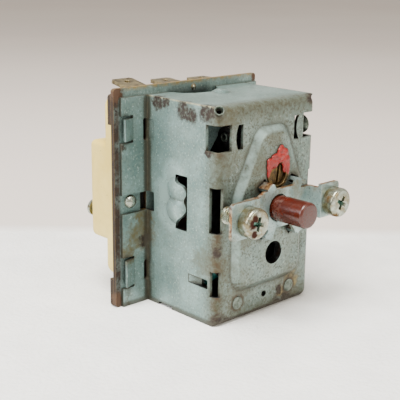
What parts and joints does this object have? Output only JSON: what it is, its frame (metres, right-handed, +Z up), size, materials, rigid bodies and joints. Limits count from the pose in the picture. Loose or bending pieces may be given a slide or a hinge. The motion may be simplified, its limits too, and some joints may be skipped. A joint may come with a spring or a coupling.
{
  "type": "over-temperature limiter thermostat",
  "caption": "Panel-mounted over-temperature limiter: folded steel box with two screw ears and a reset button in front, ceramic switch block with blade terminals behind.",
  "frame": {"origin": "on the reset button's axis, in the front plane of the two mounting ears, which is where the appliance panel's rear face lies", "axes": "-Y points along the reset button, out through the panel at the user; +Z is up when the part stands as pictured; +X is to the right seen from the front"},
  "size_m": [0.0467, 0.0554, 0.0525],
  "materials": {
    "zinc_housing": "zinc-plated sheet, aged, tan stains and rust spots along cut edges",
    "zinc_plate": "zinc-plated plate with rusted cut edges",
    "bracket_steel": "zinc-plated spring steel, lightly stained",
    "bright_screw": "bright zinc-plated, yellow-brown staining",
    "dull_rivet": "dull zinc-plated rivet steel, stained",
    "ceramic": "cream technical ceramic, dull",
    "ceramic_pin": "white technical ceramic, dull",
    "terminal_metal": "dulled plated brass",
    "silver": "silver contact metal, polished",
    "spring_bronze": "rolled spring bronze",
    "inner_steel": "plain steel, oiled",
    "spring_steel": "drawn spring wire",
    "button_plastic": "red-brown moulded thermoset, slightly worn",
    "aged_brass": "dark aged brass",
    "red_lacquer": "red sealing lacquer, semi-gloss",
    "brown_insulation": "brown phenolic moulding",
    "diaphragm_metal": "rolled stainless sheet",
    "capillary_copper": "drawn copper tube",
    "green_sleeve": "teal insulating sleeve"
  },
  "bodies": {
    "limiter_body": {"housing": "zinc_housing", "base_plate": "zinc_plate", "retaining_plate": "zinc_plate", "plate_rivets": "bright_screw", "terminal_block": "ceramic", "block_screws": "bright_screw", "mounting_bracket": "bracket_steel", "panel_screws": "bright_screw", "button_bush": "inner_steel", "button_guide": "inner_steel", "button_spring": "spring_steel", "calibration_screw": "aged_brass", "calibration_collar": "aged_brass", "sealing_lacquer": "red_lacquer", "front_rivets": "dull_rivet", "diaphragm_bracket": "inner_steel", "diaphragm_capsule": "diaphragm_metal", "capillary_inlet": "capillary_copper", "capillary_sleeve": "green_sleeve", "rocker_yoke": "inner_steel", "rocker_axle": "dull_rivet", "lever_spring": "spring_steel", "latch_yoke": "inner_steel", "latch_axle": "inner_steel", "arm_rivets": "aged_brass", "line_terminal_left": "terminal_metal", "line_terminal_centre": "terminal_metal", "line_terminal_right": "terminal_metal", "load_terminal_left": "terminal_metal", "load_terminal_centre": "terminal_metal", "load_terminal_right": "terminal_metal", "fixed_contact_left": "silver", "fixed_contact_centre": "silver", "fixed_contact_right": "silver"},
    "reset_button": {"reset_button": "button_plastic", "reset_rod": "inner_steel"},
    "trip_lever": {"trip_lever": "inner_steel", "push_stud": "aged_brass"},
    "push_bridge": {"push_bridge": "brown_insulation", "push_pin_left": "ceramic_pin", "push_pin_centre": "ceramic_pin", "push_pin_right": "ceramic_pin"},
    "thrust_disc": {"thrust_disc": "diaphragm_metal"},
    "reset_latch": {"reset_latch": "inner_steel"},
    "contact_arm_left": {"contact_arm_left": "spring_bronze", "moving_contact_left": "silver"},
    "contact_arm_centre": {"contact_arm_centre": "spring_bronze", "moving_contact_centre": "silver"},
    "contact_arm_right": {"contact_arm_right": "spring_bronze", "moving_contact_right": "silver"}
  },
  "joints": [
    {"name": "reset_press", "type": "slide", "parent": "limiter_body", "child": "reset_button", "axis": [0, 1, 0], "range_m": [0, 0.0025], "stiffness_N_per_m": 100, "springref_m": -0.0005, "deforming": ["button_spring"]},
    {"name": "trip_rock", "type": "hinge", "parent": "limiter_body", "child": "trip_lever", "pos_m": [0, 0.0114, 0.0164], "axis": [1, 0, 0], "range_deg": [0, 2.2], "stiffness_Nm_per_rad": 0.003, "springref_deg": -2.86, "deforming": ["lever_spring"]},
    {"name": "bridge_push", "type": "slide", "parent": "limiter_body", "child": "push_bridge", "axis": [0, 1, 0], "range_m": [0, 0.00095]},
    {"name": "diaphragm_push", "type": "slide", "parent": "limiter_body", "child": "thrust_disc", "axis": [0, 1, 0], "range_m": [0, 0.0012]},
    {"name": "latch_drop", "type": "hinge", "parent": "limiter_body", "child": "reset_latch", "pos_m": [0, 0.0275, -0.003], "axis": [1, 0, 0], "range_deg": [0, 12.2]},
    {"name": "contact_open_left", "type": "hinge", "parent": "limiter_body", "child": "contact_arm_left", "pos_m": [-0.0123, 0.03925, -0.0155], "axis": [-1, 0, 0], "range_deg": [0, 6.2]},
    {"name": "contact_open_centre", "type": "hinge", "parent": "limiter_body", "child": "contact_arm_centre", "pos_m": [0, 0.03925, -0.0155], "axis": [-1, 0, 0], "range_deg": [0, 6.2]},
    {"name": "contact_open_right", "type": "hinge", "parent": "limiter_body", "child": "contact_arm_right", "pos_m": [0.0123, 0.03925, -0.0155], "axis": [-1, 0, 0], "range_deg": [0, 6.2]}
  ],
  "couplings": [
    {"joint": "bridge_push", "follows": "trip_rock", "m_per_rad": 0.0234},
    {"joint": "diaphragm_push", "follows": "trip_rock", "m_per_rad": 0.0286},
    {"joint": "latch_drop", "follows": "trip_rock", "ratio": 5.4545},
    {"joint": "contact_open_left", "follows": "trip_rock", "ratio": 2.7529},
    {"joint": "contact_open_centre", "follows": "trip_rock", "ratio": 2.7529},
    {"joint": "contact_open_right", "follows": "trip_rock", "ratio": 2.7529}
  ]
}
